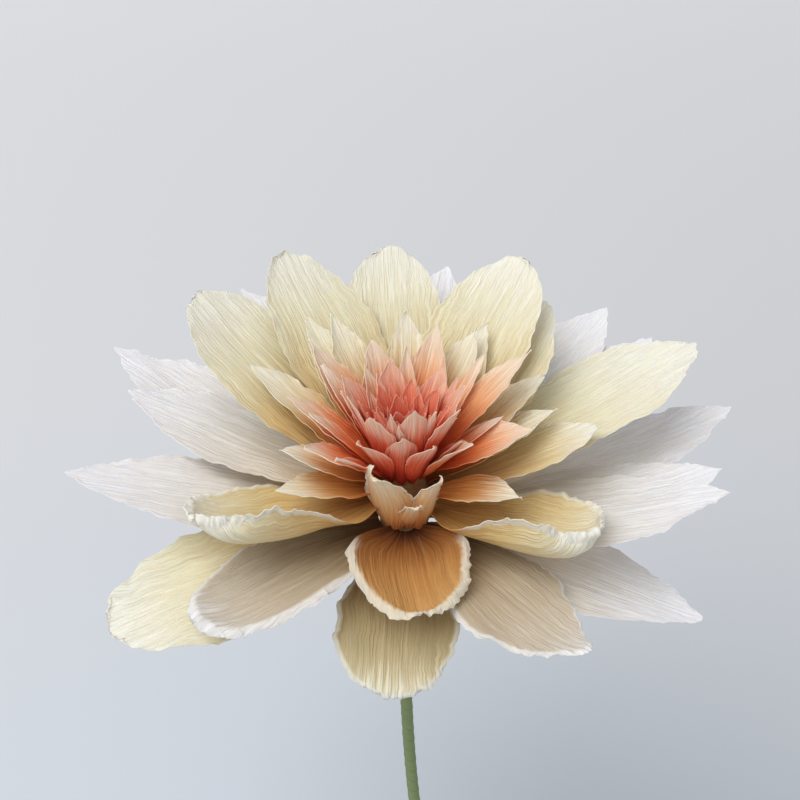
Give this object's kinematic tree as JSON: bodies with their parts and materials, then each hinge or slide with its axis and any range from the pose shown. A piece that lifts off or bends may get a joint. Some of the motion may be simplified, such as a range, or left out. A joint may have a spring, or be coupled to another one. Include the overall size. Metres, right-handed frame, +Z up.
{
  "type": "giant paper flower",
  "caption": "Giant crepe paper dahlia with layered, hand-curled petals round a fringed coral centre, on a bent wire stem wound with green floral tape.",
  "frame": {"origin": "centre of the wire's cut lower end, where the stem goes into a vase or stand", "axes": "+Z up along the lower stem, -Y towards the viewer that the bloom nods to, +X to the viewer's right"},
  "size_m": [0.322, 0.2039, 0.4473],
  "materials": {
    "white_crepe": "matt creped paper, lengthwise ridges, white fading to warm tan at the glued end",
    "cream_crepe": "matt creped paper, lengthwise ridges, cream fading to golden ochre at the glued end",
    "butter_crepe": "matt creped paper, lengthwise ridges, cream tip fading to golden orange",
    "peach_crepe": "matt creped paper, lengthwise ridges, pale pink tip fading to orange",
    "coral_crepe": "matt creped paper, lengthwise ridges, salmon tip fading to deep coral",
    "wadding": "core of wound paper and wadding, hidden between the petals",
    "floral_tape": "matt green stretched paper tape wound in a spiral",
    "wire": "plain drawn steel floral wire"
  },
  "bodies": {
    "root": {"guard_petal_12": "white_crepe", "guard_petal_9": "white_crepe", "ray_petal_11": "cream_crepe", "ray_petal_12": "cream_crepe", "guard_petal_13": "white_crepe", "guard_petal_10": "white_crepe", "guard_petal_8": "white_crepe", "guard_petal_5": "white_crepe", "guard_petal_2": "white_crepe", "guard_petal_1": "white_crepe", "guard_petal_14": "white_crepe", "ray_petal_8": "cream_crepe", "guard_petal_11": "white_crepe", "guard_petal_7": "white_crepe", "inner_petal_11": "butter_crepe", "inner_petal_12": "butter_crepe", "inner_petal_13": "butter_crepe", "ray_petal_6": "cream_crepe", "guard_petal_6": "white_crepe", "ray_petal_7": "cream_crepe", "ray_petal_5": "cream_crepe", "guard_petal_4": "white_crepe", "guard_petal_3": "white_crepe", "ray_petal_10": "cream_crepe", "ray_petal_3": "cream_crepe", "ray_petal_1": "cream_crepe", "ray_petal_9": "cream_crepe", "ray_petal_4": "cream_crepe", "ray_petal_2": "cream_crepe", "inner_petal_7": "butter_crepe", "inner_petal_9": "butter_crepe", "inner_petal_10": "butter_crepe", "inner_petal_6": "butter_crepe", "inner_petal_3": "butter_crepe", "inner_petal_4": "butter_crepe", "inner_petal_5": "butter_crepe", "inner_petal_8": "butter_crepe", "inner_petal_2": "butter_crepe", "inner_petal_1": "butter_crepe", "inner_petal_14": "butter_crepe", "heart_petal_7": "peach_crepe", "heart_petal_6": "peach_crepe", "heart_petal_2": "peach_crepe", "heart_petal_1": "peach_crepe", "heart_petal_9": "peach_crepe", "heart_petal_3": "peach_crepe", "heart_petal_10": "peach_crepe", "heart_petal_8": "peach_crepe", "heart_petal_5": "peach_crepe", "heart_petal_4": "peach_crepe", "heart_petal_11": "peach_crepe", "peach_strip": "peach_crepe", "coral_strip_low": "coral_crepe", "coral_strip_high": "coral_crepe", "coral_strip_top": "coral_crepe", "core": "wadding", "stem_wire": "wire", "stem_tape": "floral_tape"}
  },
  "joints": []
}
